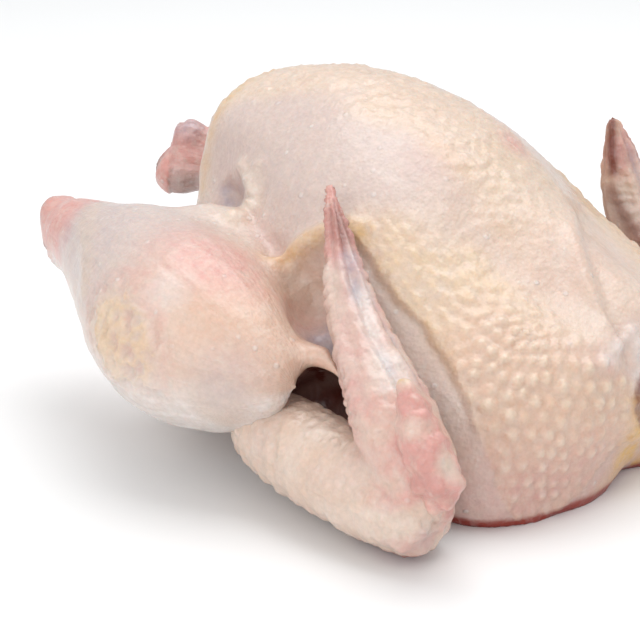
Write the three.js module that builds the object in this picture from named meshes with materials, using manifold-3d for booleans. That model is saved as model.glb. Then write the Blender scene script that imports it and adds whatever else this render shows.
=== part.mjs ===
// Whole raw chicken, dressed, lying on its back.
// Millimetres. +X points to the neck, +Y to the bird's right side (it lies breast up), +Z up.
// Sizes are given from the breast's own midline; at the end the bird is moved
// so that the origin is on the ground under the middle of its whole extent.

import * as THREE from "three";
import { mergeVertices } from "three/addons/utils/BufferGeometryUtils.js";
import Module from "manifold-3d";

// Main sizes of the trunk
const TAIL_END_X = -78;
const NECK_END_X = 86;
const TRUNK_RING = 48;
const TRUNK_ROWS = 34;

// Sections of the trunk from tail to neck, evenly spaced along X.
// Each gives the height of its middle, then its radii at these angles from
// straight down to straight up; both sides are alike.
const SECTION_ANGLES = [-90, -54, -18, 18, 54, 90];
const TRUNK_SECTIONS = [
  { middle: 66, radii: [47, 46, 38, 34, 40, 37] },
  { middle: 58, radii: [56, 56, 46, 36, 45, 46] },
  { middle: 51, radii: [52, 60, 56, 46, 51, 55] },
  { middle: 46, radii: [47, 56, 61, 54, 56, 57] },
  { middle: 42, radii: [43, 51, 64, 56, 53, 54] },
  { middle: 36, radii: [37, 47, 65, 53, 43, 46] },
  { middle: 31, radii: [33, 45, 66, 50, 34, 37] },
  { middle: 28, radii: [30, 40, 56, 44, 30, 30] },
];

// The crease between the two halves of the breast, at the front
const CREASE_DEPTH = 3.5;
const CREASE_HALF_WIDTH = 7;

// Openings: a shallow vent between the legs and a shallow neck end.
// lean says how far the opening's top stands forward of its bottom.
const VENT = {
  x: -72,
  z: 68,
  halfWidth: 24,
  halfHeight: 22,
  rim: 3.4,
  depth: 9,
  lean: 0.16,
};
const NECK = {
  x: 82,
  z: 35,
  halfWidth: 18,
  halfHeight: 15,
  rim: 3.8,
  depth: 10,
  lean: -0.22,
};

// Limbs. Each station: x, y, z of the centre line, half width, half height.
// They are written for the left side, which has negative Y.
const LEFT_THIGH = [
  [-50, -34, 42, 28, 32],
  [-36, -52, 38, 31, 33],
  [-20, -68, 36, 24, 25],
];
const LEFT_DRUMSTICK = [
  [22, -80, 37, 27, 26],
  [-18, -74, 41, 32, 31],
  [-54, -64, 49, 23, 23],
  [-84, -56, 53, 13, 13.5],
  [-107, -48, 53, 12.5, 12.5],
];
const LEFT_UPPER_ARM = [
  [50, -44, 34, 16, 16],
  [25, -58, 25, 15, 15],
  [4, -72, 20, 13, 13],
];
const LEFT_FOREARM = [
  [2, -80, 27, 13, 12],
  [38, -82, 21, 14, 13],
  [72, -81, 12, 14, 12],
];
const LEFT_HAND = [
  [70, -82, 14, 11, 14],
  [52, -77, 37, 8, 14],
  [27, -64, 58, 5.5, 12],
  [3, -48, 83, 2.5, 4],
];
const LEFT_THUMB = [
  [66, -85, 26, 4, 5],
  [61, -87, 38, 3.5, 4.5],
  [57, -85, 49, 2, 2.5],
];
const RIGHT_THIGH = [
  [-50, 34, 42, 28, 32],
  [-40, 52, 39, 31, 33],
  [-28, 66, 38, 24, 25],
];
const RIGHT_DRUMSTICK = [
  [9, 78, 39, 27, 26],
  [-28, 63, 45, 32, 30],
  [-62, 38, 56, 24, 23],
  [-88, 16, 62, 13, 13.5],
  [-109, 4, 63, 12.5, 12.5],
];
const RIGHT_UPPER_ARM = [
  [42, 44, 34, 16, 16],
  [18, 58, 25, 15, 15],
  [-4, 72, 20, 13, 13],
];
const RIGHT_FOREARM = [
  [-8, 80, 27, 13, 12],
  [24, 82, 21, 14, 13],
  [54, 79, 12, 14, 12],
];
const RIGHT_HAND = [
  [53, 78, 14, 11, 14],
  [47, 74, 38, 8, 12],
  [38, 69, 61, 6.5, 10.5],
  [29, 66, 87, 2.5, 3.5],
];
const RIGHT_THUMB = [
  [56, 83, 26, 4, 5],
  [54, 83, 38, 3.5, 4.5],
  [52, 80, 49, 2, 2.5],
];

// Skin stretched from the belly to the leg, and the fold from the knee to the wing
const LEFT_BELLY_WEB = [
  [-62, -38, 52, 10, 11],
  [-44, -42, 61, 13, 13],
  [-18, -52, 60, 12, 12],
];
const LEFT_WING_FOLD = [
  [-6, -62, 44, 7, 9],
  [14, -64, 46, 6, 8],
  [36, -68, 32, 6, 10],
];
const RIGHT_BELLY_WEB = [
  [-66, 32, 56, 11, 12],
  [-46, 42, 62, 14, 14],
  [-18, 52, 60, 12, 12],
];
const RIGHT_WING_FOLD = [
  [-12, 62, 44, 7, 9],
  [8, 64, 46, 6, 8],
  [30, 68, 32, 6, 10],
];
const TAIL = [
  [-56, 0, 24, 22, 17],
  [-80, 0, 24, 16, 12],
  [-98, 0, 29, 8, 7],
];

const SKIN = new THREE.MeshStandardMaterial({
  color: 0xe3b9a2,
  roughness: 0.42,
  metalness: 0,
});

const manifoldLibrary = await Module();
manifoldLibrary.setup();

const clamp = (v, low, high) => Math.min(Math.max(v, low), high);

// A smooth bump that is 1 at 0 and falls to 0 at +-1
function bump(v) {
  const u = clamp(Math.abs(v), 0, 1);
  return (1 - u * u) ** 2;
}

// One value of a smooth curve through evenly spaced numbers, with t from 0 to 1
function smoothThrough(values, t) {
  const last = values.length - 1;
  const s = clamp(t * last, 0, last - 1e-9);
  const i = Math.floor(s);
  const f = s - i;
  const p1 = values[i];
  const p2 = values[i + 1];
  const p0 = i > 0 ? values[i - 1] : 2 * p1 - p2;
  const p3 = i + 2 <= last ? values[i + 2] : 2 * p2 - p1;
  return (
    0.5 *
    (2 * p1 +
      (p2 - p0) * f +
      (2 * p0 - 5 * p1 + 4 * p2 - p3) * f * f +
      (3 * p1 - p0 - 3 * p2 + p3) * f * f * f)
  );
}

// How full a body is at t along its length: 1 over the middle, 0 at the ends.
// Its start and its end each have a bluntness; a larger one is squarer.
function fullness(t, [start, end]) {
  const u = Math.min(Math.abs(2 * t - 1), 1);
  const bluntness = t < 0.5 ? start : end;
  return (1 - u ** bluntness) ** (1 / bluntness);
}

// A sphere whose every vertex is placed by place(t, angle), with t from 0 at one
// pole to 1 at the other.
function ballAround(ring, rows, place) {
  const sphere = new THREE.SphereGeometry(1, ring, rows);
  sphere.deleteAttribute("normal");
  sphere.deleteAttribute("uv");
  const ball = mergeVertices(sphere, 1e-5);
  const position = ball.getAttribute("position");
  const v = new THREE.Vector3();
  for (let i = 0; i < position.count; i++) {
    v.fromBufferAttribute(position, i);
    const polar = Math.acos(clamp(v.y, -1, 1)) / Math.PI;
    const t = 0.5 * polar + 0.25 * (1 - Math.cos(Math.PI * polar));
    const angle = Math.atan2(v.z, v.x);
    const p = place(t, angle);
    position.setXYZ(i, p.x, p.y, p.z);
  }
  return ball;
}

// A closed manifold-3d solid from a geometry, whichever way its faces turn
function solidFrom(geometry) {
  const triangles = new Uint32Array(geometry.index.array);
  const make = () =>
    new manifoldLibrary.Manifold(
      new manifoldLibrary.Mesh({
        numProp: 3,
        vertProperties: new Float32Array(geometry.getAttribute("position").array),
        triVerts: triangles,
      }),
    );
  let solid = make();
  if (solid.volume() < 0) {
    for (let i = 0; i < triangles.length; i += 3) {
      [triangles[i + 1], triangles[i + 2]] = [triangles[i + 2], triangles[i + 1]];
    }
    solid = make();
  }
  return solid;
}

// A limb: oval sections along a smooth line through its stations
function limb(stations, ring, rows, bluntness, relief) {
  const column = (k) => stations.map((s) => s[k]);
  const [xs, ys, zs, widths, heights] = [0, 1, 2, 3, 4].map(column);
  const centre = (t) =>
    new THREE.Vector3(
      smoothThrough(xs, t),
      smoothThrough(ys, t),
      smoothThrough(zs, t),
    );
  const up = new THREE.Vector3(0, 0, 1);
  return solidFrom(
    ballAround(ring, rows, (t, angle) => {
      const along = centre(Math.min(t + 0.01, 1))
        .sub(centre(Math.max(t - 0.01, 0)))
        .normalize();
      const side = up.clone().cross(along).normalize();
      const top = along.clone().cross(side);
      const full = fullness(t, bluntness);
      const extra = relief ? relief(t, angle) : 0;
      const width = (smoothThrough(widths, t) + extra) * full;
      const height = (smoothThrough(heights, t) + extra) * full;
      return centre(t)
        .addScaledVector(side, Math.cos(angle) * width)
        .addScaledVector(top, Math.sin(angle) * height);
    }),
  );
}

// The trunk, with its breast crease
function trunk() {
  const middles = TRUNK_SECTIONS.map((s) => s.middle);
  const radius = (t, degrees) => {
    const place = (degrees + 90) / 180;
    const across = SECTION_ANGLES.map((_, k) =>
      smoothThrough(
        TRUNK_SECTIONS.map((s) => s.radii[k]),
        t,
      ),
    );
    // mirrored beyond straight down and straight up, so the section is smooth there
    const mirrored = [across[1], ...across, across[across.length - 2]];
    return smoothThrough(mirrored, (place * 5 + 1) / 7);
  };
  return solidFrom(
    ballAround(TRUNK_RING, TRUNK_ROWS, (t, angle) => {
      const x = THREE.MathUtils.lerp(TAIL_END_X, NECK_END_X, t);
      const sideways = Math.cos(angle);
      const degrees = THREE.MathUtils.radToDeg(
        Math.atan2(Math.sin(angle), Math.abs(sideways)),
      );
      const r = radius(t, degrees) * fullness(t, [5, 5]);
      const y = sideways * r;
      let z = smoothThrough(middles, t) + Math.sin(angle) * r;
      const towardsFront = THREE.MathUtils.smoothstep(x, 34, 66);
      const upperSide = THREE.MathUtils.smoothstep(degrees, 20, 60);
      z -= CREASE_DEPTH * bump(y / CREASE_HALF_WIDTH) * towardsFront * upperSide;
      return new THREE.Vector3(x, y, z);
    }),
  );
}

// A raised, uneven rim around an opening in the YZ plane
function rimAround({ x, z, halfWidth, halfHeight, rim, lean }) {
  const torus = new THREE.TorusGeometry(3, 1, 7, 30);
  torus.deleteAttribute("normal");
  torus.deleteAttribute("uv");
  const geometry = mergeVertices(torus, 1e-5);
  const position = geometry.getAttribute("position");
  for (let i = 0; i < position.count; i++) {
    const [a, b] = torusAngles(position, i);
    const wave = 1 + 0.18 * Math.sin(3 * a + 0.6) + 0.12 * Math.sin(7 * a);
    const thick = rim * wave;
    const y = Math.cos(a) * (halfWidth + Math.cos(b) * thick);
    const up = Math.sin(a) * (halfHeight + Math.cos(b) * thick);
    position.setXYZ(i, x + lean * up + Math.sin(b) * thick, y, z + up);
  }
  return solidFrom(geometry);
}

// The angles of a torus vertex: round the ring, and round the tube
function torusAngles(position, i) {
  const x = position.getX(i);
  const y = position.getY(i);
  const z = position.getZ(i);
  return [Math.atan2(y, x), Math.atan2(z, Math.hypot(x, y) - 3)];
}

// An egg-shaped solid, used to hollow an opening
function egg(x, y, z, halfLength, halfWidth, halfHeight, ring = 20, rows = 10) {
  return solidFrom(
    ballAround(ring, rows, (t, angle) => {
      const polar = t * Math.PI;
      return new THREE.Vector3(
        x + Math.cos(polar) * halfLength,
        y + Math.sin(polar) * Math.cos(angle) * halfWidth,
        z + Math.sin(polar) * Math.sin(angle) * halfHeight,
      );
    }),
  );
}

// Two round knuckles at the hock end of a drumstick
function knuckles(stations) {
  const end = stations[stations.length - 1];
  const before = stations[stations.length - 2];
  const out = new THREE.Vector3(
    end[0] - before[0],
    end[1] - before[1],
    end[2] - before[2],
  ).normalize();
  const tip = new THREE.Vector3(end[0], end[1], end[2]).addScaledVector(out, -4);
  return [
    egg(tip.x, tip.y, tip.z + 4.5, 6.5, 10, 7.5, 12, 8),
    egg(tip.x + 1, tip.y, tip.z - 5, 6.5, 9.5, 7.5, 12, 8),
  ];
}

// A big block, used to cut the ground flat
function groundBlock() {
  const box = new THREE.BoxGeometry(600, 600, 200);
  box.translate(0, 0, -100);
  box.deleteAttribute("normal");
  box.deleteAttribute("uv");
  return solidFrom(mergeVertices(box, 1e-5));
}

const legRelief = (t, angle) =>
  1.2 * bump((t - 0.3) / 0.3) * Math.sin(3 * angle + 9 * t);

const handRelief = (t, angle) =>
  1.1 * Math.cos(2 * angle) * bump((t - 0.35) / 0.4) + 0.6 * Math.sin(26 * t);

function wholeChicken() {
  const round = [3, 3];
  const joined = [
    rimAround(VENT),
    rimAround(NECK),
    limb(TAIL, 14, 10, round),
    limb(LEFT_THIGH, 18, 10, round),
    limb(RIGHT_THIGH, 18, 10, round),
    limb(LEFT_DRUMSTICK, 28, 20, [2.1, 6], legRelief),
    limb(RIGHT_DRUMSTICK, 28, 20, [2.1, 6], legRelief),
    limb(LEFT_BELLY_WEB, 14, 10, round),
    limb(RIGHT_BELLY_WEB, 14, 10, round),
    limb(LEFT_WING_FOLD, 12, 10, round),
    limb(RIGHT_WING_FOLD, 12, 10, round),
    limb(LEFT_UPPER_ARM, 14, 10, round),
    limb(RIGHT_UPPER_ARM, 14, 10, round),
    limb(LEFT_FOREARM, 18, 13, [3.5, 4]),
    limb(RIGHT_FOREARM, 18, 13, [3.5, 4]),
    limb(LEFT_HAND, 16, 18, [4, 5], handRelief),
    limb(RIGHT_HAND, 16, 18, [4, 5], handRelief),
    limb(LEFT_THUMB, 10, 8, [4, 4]),
    limb(RIGHT_THUMB, 10, 8, [4, 4]),
    ...knuckles(LEFT_DRUMSTICK),
    ...knuckles(RIGHT_DRUMSTICK),
  ].reduce((whole, piece) => whole.add(piece), trunk());
  const vent = egg(
    VENT.x - 8,
    0,
    VENT.z,
    VENT.depth + 8,
    VENT.halfWidth - 1,
    VENT.halfHeight - 1,
  );
  const neck = egg(
    NECK.x + 8,
    0,
    NECK.z,
    NECK.depth + 8,
    NECK.halfWidth - 1,
    NECK.halfHeight - 1,
  );
  return joined.subtract(vent).subtract(neck).subtract(groundBlock());
}

// The largest body of a solid, as a three.js geometry
function geometryFrom(solid) {
  const bodies = solid.decompose().sort((a, b) => b.volume() - a.volume());
  const mesh = bodies[0].getMesh();
  const position = new Float32Array(mesh.numVert * 3);
  for (let i = 0; i < mesh.numVert; i++) {
    position.set(
      mesh.vertProperties.subarray(i * mesh.numProp, i * mesh.numProp + 3),
      i * 3,
    );
  }
  const geometry = new THREE.BufferGeometry();
  geometry.setAttribute("position", new THREE.BufferAttribute(position, 3));
  geometry.setIndex(new THREE.BufferAttribute(new Uint32Array(mesh.triVerts), 1));
  geometry.computeVertexNormals();
  return geometry;
}

const skin = geometryFrom(wholeChicken());
skin.computeBoundingBox();
const middle = skin.boundingBox.getCenter(new THREE.Vector3());
skin.translate(-middle.x, -middle.y, 0);

const chicken = new THREE.Mesh(skin, SKIN);
chicken.name = "chicken";

const bird = new THREE.Group();
bird.add(chicken);

export default bird;
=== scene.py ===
# %% [markdown]
# # A whole raw chicken, lying on its back
#
# This lesson dresses one solid, a dressed raw chicken, with skin. The bird lies breast up.
# Its neck points along +X, its right side along +Y, and the ground is at Z = 0.
# First comes the fixed frame: the imported model, which sets where everything is and how
# big it is.

import itertools
import math

import bmesh
import bpy
import numpy as np
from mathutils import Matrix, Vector


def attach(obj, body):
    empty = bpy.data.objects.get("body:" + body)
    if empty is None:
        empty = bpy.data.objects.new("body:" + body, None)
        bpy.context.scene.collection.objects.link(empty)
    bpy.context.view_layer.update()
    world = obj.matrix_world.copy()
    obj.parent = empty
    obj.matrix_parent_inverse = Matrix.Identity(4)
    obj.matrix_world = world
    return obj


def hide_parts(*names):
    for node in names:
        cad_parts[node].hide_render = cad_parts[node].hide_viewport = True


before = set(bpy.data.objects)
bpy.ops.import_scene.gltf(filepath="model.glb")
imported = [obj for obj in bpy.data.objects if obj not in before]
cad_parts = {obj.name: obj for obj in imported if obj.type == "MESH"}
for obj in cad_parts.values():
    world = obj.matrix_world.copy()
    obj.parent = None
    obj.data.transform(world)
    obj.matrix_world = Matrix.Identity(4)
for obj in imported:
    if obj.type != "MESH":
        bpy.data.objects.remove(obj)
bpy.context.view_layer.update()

# %% [markdown]
# ## One way to measure
#
# A bird has a midline, and it is easiest to give every size from it, in millimetres.
# The row frame has its origin under the middle of the whole extent instead, so the midline
# frame is moved by a fixed amount when a mesh is finished. Blender works in metres.

# %% Units and the midline
MM = 0.001
MIDLINE = np.array([11.153, 3.182, 0.0])


def smoothstep(low, high, value):
    """0 below low, 1 above high, and a smooth turn between them."""
    u = np.clip((value - low) / (high - low), 0.0, 1.0)
    return u * u * (3.0 - 2.0 * u)


def through(values, t):
    """A smooth curve through evenly spaced rows of numbers, at each t from 0 to 1."""
    values = np.asarray(values, float)
    last = len(values) - 1
    s = np.clip(np.asarray(t, float) * last, 0.0, last - 1e-9)
    i = s.astype(int)
    f = (s - i)[:, None]
    one = values[i]
    two = values[i + 1]
    before = np.where((i > 0)[:, None], values[np.maximum(i - 1, 0)], 2 * one - two)
    after_index = np.minimum(i + 2, last)
    after = np.where((i + 2 <= last)[:, None], values[after_index], 2 * two - one)
    return 0.5 * (
        2 * one
        + (two - before) * f
        + (2 * before - 5 * one + 4 * two - after) * f**2
        + (3 * one - before - 3 * two + after) * f**3
    )


def fullness(t, ends):
    """1 over the middle of a form and 0 at its two ends; a larger end is squarer."""
    u = np.minimum(np.abs(2 * t - 1), 1.0)
    power = np.where(t < 0.5, ends[0], ends[1])
    return np.maximum(1 - u**power, 0.0) ** (1 / power)


print("the midline frame is moved by", MIDLINE.tolist(), "mm")

# %% [markdown]
# ## The forms under the skin
#
# A carcass is a few full forms: the trunk, the thighs, the drumsticks and the wing bones
# with their muscle. A loft describes each well: oval sections along a smooth line.
# Every station below is x, y, z of that line, then half the width and half the height.
# The trunk gets its own table, because its section is not an oval: it is flat on the back,
# wide at the shoulders and narrow over the keel.

# %% Stations of the trunk and limbs
TRUNK_ENDS = (-73.0, 86.0)
TRUNK_MIDDLES = np.array([66, 58, 51, 46, 42, 36, 31, 28], float)
TRUNK_RADII = np.array(
    [
        [47, 46, 34, 28, 36, 37],
        [56, 56, 46, 35, 43, 46],
        [52, 60, 56, 46, 51, 55],
        [47, 56, 61, 54, 56, 57],
        [43, 54, 64, 56, 53, 54],
        [38, 58, 65, 53, 43, 46],
        [36, 61, 66, 50, 34, 37],
        [34, 54, 52, 42, 30, 30],
    ],
    float,
)
LIMBS = {
    "left_thigh": ([(-50, -34, 42, 28, 32), (-36, -52, 38, 31, 33), (-20, -68, 36, 24, 25)], (3, 3)),
    "right_thigh": ([(-50, 34, 42, 28, 32), (-40, 52, 39, 31, 33), (-28, 66, 38, 24, 25)], (3, 3)),
    "left_drumstick": (
        [
            (22, -80, 37, 27, 26),
            (-18, -74, 41, 32, 31),
            (-54, -64, 49, 23, 23),
            (-84, -56, 52, 13, 13.5),
            (-107, -48, 50.5, 10, 10.5),
        ],
        (2.1, 6),
    ),
    "right_drumstick": (
        [
            (9, 78, 39, 27, 26),
            (-28, 63, 45, 32, 30),
            (-62, 38, 56, 24, 23),
            (-88, 16, 61, 12, 12.5),
            (-106, 5, 64, 9, 10.5),
        ],
        (2.1, 6),
    ),
    "left_upper_arm": ([(50, -44, 34, 16, 16), (25, -58, 25, 15, 15), (4, -72, 20, 13, 13)], (3, 3)),
    "right_upper_arm": ([(42, 44, 34, 16, 16), (18, 58, 25, 15, 15), (-4, 72, 20, 13, 13)], (3, 3)),
    "tail": ([(-56, 0, 24, 22, 17), (-80, 0, 24, 16, 12), (-98, 0, 29, 8, 7)], (3, 3)),
    "left_forearm": (
        [(-4, -73, 21.5, 12.5, 12.5), (36, -80, 17, 13.5, 13), (71, -81, 12.5, 13.5, 12.5)],
        (3.5, 4),
    ),
    "right_forearm": ([(-8, 80, 27, 13, 12), (24, 82, 21, 14, 13), (54, 79, 12, 14, 12)], (3.5, 4)),
    "left_hand": (
        [
            (70, -82, 14, 12, 13),
            (52, -77, 37, 11.5, 10),
            (27.5, -64, 58, 7, 6.4),
            (5, -47, 86, 2.2, 2.4),
        ],
        (4, 3.5),
    ),
    "right_hand": (
        [(53, 78, 14, 11, 14), (45, 74, 38, 8, 12), (34, 69, 60, 6, 9), (28, 66, 87, 2.5, 3)],
        (4, 5),
    ),
    "left_thumb": ([(76, -85, 22, 5, 6), (70, -87, 36, 6, 6.5), (60.5, -84.5, 53, 2.6, 3)], (4, 3)),
    "right_thumb": ([(58, 84, 22, 5, 6), (57, 85, 35, 5, 6), (54, 81, 51, 2.4, 3)], (4, 3)),
}
print(len(LIMBS), "limb forms and one trunk")

# %% [markdown]
# ## Skin that is stretched or folded
#
# Loose skin makes forms of its own. It spans from the belly to the thigh, ends in a
# yellowish free edge on the flank, and drapes in an arch from the knee to the wing. Lofts
# are laid where these run, to be melted into the rest. The hocks get round knuckles, the
# two openings a raised rim, and hollows are cut: the openings themselves, the gap between
# leg and wing, and the pocket in the flank above it.

# %% Stations of the skin folds
FOLDS = {
    "left_belly_web": (
        [(-38, -42, 58, 9, 10), (-27, -47, 57.5, 11, 11), (-14, -54, 56, 10, 11)],
        (3, 3),
    ),
    "right_belly_web": (
        [(-40, 42, 58, 9, 10), (-28, 48, 57.5, 11, 11), (-14, 54, 56, 10, 11)],
        (3, 3),
    ),
    "left_flank_edge": (
        [
            (-12, -58, 60, 2.2, 2.6),
            (-4, -54.5, 63, 2.8, 3.4),
            (1, -52.5, 68.5, 2.6, 3.4),
            (7, -50, 73, 2.4, 3.0),
            (16, -48, 73, 1.8, 2.0),
        ],
        (4, 4),
    ),
    "right_flank_edge": (
        [
            (-16, 58, 60, 2.2, 2.6),
            (-7, 54.5, 64, 2.8, 3.4),
            (0, 51, 71, 2.4, 3.0),
            (11, 48, 73, 1.8, 2.0),
        ],
        (4, 4),
    ),
    "left_arch": (
        [
            (2, -66, 36.5, 3.6, 3.6),
            (9, -67, 40.5, 3.0, 3.2),
            (14.5, -69, 44.5, 2.8, 3.0),
            (20, -71, 46.5, 2.7, 3.0),
            (25, -72.5, 45, 2.7, 3.0),
            (29.5, -73, 39.5, 2.8, 3.0),
            (33, -72.5, 31, 3.0, 3.2),
        ],
        (4, 4),
    ),
    "left_arch_lining": (
        [
            (20.5, -68, 44, 3.0, 3),
            (22.5, -68, 39, 3.4, 3),
            (26, -67, 33.8, 3.6, 3),
            (30, -66, 27, 3.6, 3),
        ],
        (4, 4),
    ),
    "left_arch_knee": (
        [(20.5, -76, 44, 3.4, 3), (15.5, -77, 39.6, 3.6, 3.2), (10, -77, 35, 4, 3.4)],
        (4, 4),
    ),
    "right_arch": (
        [(-4, 66, 38, 3.6, 4.0), (7, 68, 45, 3.2, 4.0), (18, 70, 43, 3.2, 3.8), (26, 71, 30, 3.6, 3.6)],
        (4, 4),
    ),
    "left_neck_fat": ([(82, -16, 27, 4, 4.5), (81, -21, 17, 5, 5), (75, -29, 7.5, 5, 5)], (4, 4)),
    "right_neck_fat": ([(82, 16, 27, 4, 4.5), (81, 21, 17, 5, 5), (75, 29, 7.5, 5, 5)], (4, 4)),
    "neck_skin": ([(66, 6, 58, 5, 6), (76, 2, 51, 8, 6), (83, 0, 45, 9, 5)], (3, 3)),
}
KNUCKLES = {
    "left_hock": [((-104, -50, 56), (7.5, 8.5, 7)), ((-105, -49, 47), (7, 8, 6.5))],
    "right_hock": [((-99, 6, 72), (6.5, 7, 6.5)), ((-103, 4, 59), (9.5, 9.5, 9.5))],
}
OPENINGS = {
    "vent": [(-98, 0, 70, 18, 19), (-77, 0, 68, 19, 20), (-60, 0, 66, 13, 12)],
    "neck": [(112, 0, 28, 12, 11), (92, 0, 29, 12, 11), (76, 0, 31, 9, 8)],
}
GAPS = {
    "left_wing_gap": [(30, -80, 35, 8.5, 10), (20, -68, 28.5, 11.5, 11.5), (8, -54, 22, 8, 8)],
    "right_wing_gap": [(20, 80, 36, 8, 10), (11, 68, 29, 11, 10.5), (0, 54, 22, 8, 8)],
    "left_gap_top": [(26, -82, 38, 2.6, 6), (19.5, -72, 38, 2.6, 6), (12, -60, 33, 3, 5)],
    "left_flank_pocket": [(25, -78, 62, 6, 9), (13, -63, 56, 8, 12), (5, -54, 50, 6, 6)],
    "right_flank_pocket": [(15, 78, 62, 6, 9), (3, 63, 56, 8, 12), (-5, 54, 50, 6, 6)],
}
RIMS = {
    "vent": dict(x=-66.5, z=68, half_width=22, half_height=22, rim=3.2, lean=0.16),
    "neck": dict(x=83.5, z=30, half_width=15, half_height=13.5, rim=4.0, lean=-0.2),
}
print(len(FOLDS), "folds,", len(RIMS), "rims,", len(OPENINGS) + len(GAPS), "hollows")

# %% [markdown]
# ## From a ball to a limb
#
# A UV sphere is already a closed skin with two poles, so it is the simplest start for a
# closed loft: each vertex has a place along the form and an angle around it, and it is
# moved to where the oval at that place says. Nothing has to be stitched afterwards.

# %% A helper that turns spheres into forms
def frame_along(stations, t):
    """The line's points at t, with unit vectors to its side and to its top."""
    line = np.asarray(stations, float)[:, :3]
    centre = through(line, t)
    along = through(line, np.minimum(t + 0.01, 1)) - through(line, np.maximum(t - 0.01, 0))
    along /= np.linalg.norm(along, axis=1)[:, None]
    side = np.cross(np.array([0.0, 0.0, 1.0]), along)
    side /= np.linalg.norm(side, axis=1)[:, None]
    return centre, side, np.cross(along, side)


def place_on_limb(stations, ends):
    """A rule that puts the point at (t, angle) on the limb."""

    def place(t, angle):
        centre, side, top = frame_along(stations, t)
        size = through(np.asarray(stations, float)[:, 3:5], t)
        size *= fullness(t, ends)[:, None]
        across = side * (np.cos(angle) * size[:, 0])[:, None]
        return centre + across + top * (np.sin(angle) * size[:, 1])[:, None]

    return place


TRUNK_SQUARENESS = (5, 5)


def trunk_radius(t, degrees):
    """The trunk's radius at t along it and this many degrees above level."""
    across = through(TRUNK_RADII, t)
    mirrored = np.column_stack([across[:, 1], across, across[:, -2]])
    s = np.clip((degrees + 90) / 36 + 1, 0, 7 - 1e-9)
    i = s.astype(int)
    f = s - i

    def pick(k):
        return np.take_along_axis(mirrored, np.clip(k, 0, 7)[:, None], 1)[:, 0]

    p0, p1, p2, p3 = pick(i - 1), pick(i), pick(i + 1), pick(i + 2)
    return 0.5 * (
        2 * p1
        + (p2 - p0) * f
        + (2 * p0 - 5 * p1 + 4 * p2 - p3) * f**2
        + (3 * p1 - p0 - 3 * p2 + p3) * f**3
    )


def place_on_trunk(t, angle):
    """The point at (t, angle) on the trunk."""
    level = np.degrees(np.arctan2(np.sin(angle), np.abs(np.cos(angle))))
    r = trunk_radius(t, level) * fullness(t, TRUNK_SQUARENESS)
    x = TRUNK_ENDS[0] + (TRUNK_ENDS[1] - TRUNK_ENDS[0]) * t
    z = through(TRUNK_MIDDLES[:, None], t)[:, 0] + np.sin(angle) * r
    return np.column_stack([x, np.cos(angle) * r, z])


def add_form(bm, ring, rows, place):
    """A sphere whose vertices are moved by place(t, angle), in millimetres."""
    made = bmesh.ops.create_uvsphere(bm, u_segments=ring, v_segments=rows, radius=1.0)
    ball = np.array([v.co for v in made["verts"]])
    polar = np.arccos(np.clip(ball[:, 2], -1, 1)) / math.pi
    t = 0.5 * polar + 0.25 * (1 - np.cos(math.pi * polar))
    moved = place(t, np.arctan2(ball[:, 1], ball[:, 0]))
    for vertex, point in zip(made["verts"], moved):
        vertex.co = point


RING_RADIUS = 4.0


def add_rim(bm, x, z, half_width, half_height, rim, lean, **_):
    """An uneven raised lip round an opening: a small ring spun about +X."""
    ring = bmesh.ops.create_circle(bm, segments=14, radius=1.0)
    section = list(ring["verts"])
    for v in section:
        v.co = Vector((v.co.x, v.co.y + RING_RADIUS, 0.0))
    edges = list({e for v in section for e in v.link_edges})
    bmesh.ops.spin(
        bm,
        geom=section + edges,
        cent=(0, 0, 0),
        axis=(1, 0, 0),
        angle=math.tau,
        steps=72,
        use_merge=True,
    )
    torus = {v for f in bm.faces if any(s in f.verts for s in section) for v in f.verts}
    grown = set(section)
    while len(grown) < len(grown | torus):
        grown |= torus
        torus = {v for g in torus for e in g.link_edges for v in e.verts}
    for v in grown:
        a = math.atan2(v.co.z, v.co.y)
        out = math.hypot(v.co.y, v.co.z) - RING_RADIUS
        thick = rim * (1 + 0.18 * math.sin(3 * a + 0.6) + 0.12 * math.sin(7 * a))
        y = math.cos(a) * (half_width + out * thick)
        up = math.sin(a) * (half_height + out * thick)
        v.co = Vector((x + lean * up + v.co.x * thick, y, z + up))


print("forms start as spheres, rims as a spun ring")

# %% [markdown]
# ## Melting the forms into one skin
#
# The forms overlap, as muscle does under skin. A voxel remesh keeps only their shared
# outside and turns it into an even net of quads, a few smoothing steps round the creases
# as skin does, and one subdivision gives the net a spacing of about a millimetre, which
# is fine enough for follicles and wrinkles to be real relief.

# %% Melt helpers
def linked(name, mesh):
    obj = bpy.data.objects.new(name, mesh)
    bpy.context.scene.collection.objects.link(obj)
    return obj


def as_object(name, bm):
    """A closed mesh object with everything in bm, its faces turned outwards."""
    bmesh.ops.recalc_face_normals(bm, faces=bm.faces)
    mesh = bpy.data.meshes.new(name)
    bm.to_mesh(mesh)
    bm.free()
    return linked(name, mesh)


def baked(obj, name):
    """A new mesh with the object's modifiers applied; the object goes."""
    evaluated = obj.evaluated_get(bpy.context.evaluated_depsgraph_get())
    mesh = bpy.data.meshes.new_from_object(evaluated)
    mesh.name = name
    raw = obj.data
    bpy.data.objects.remove(obj)
    bpy.data.meshes.remove(raw)
    return mesh


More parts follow.
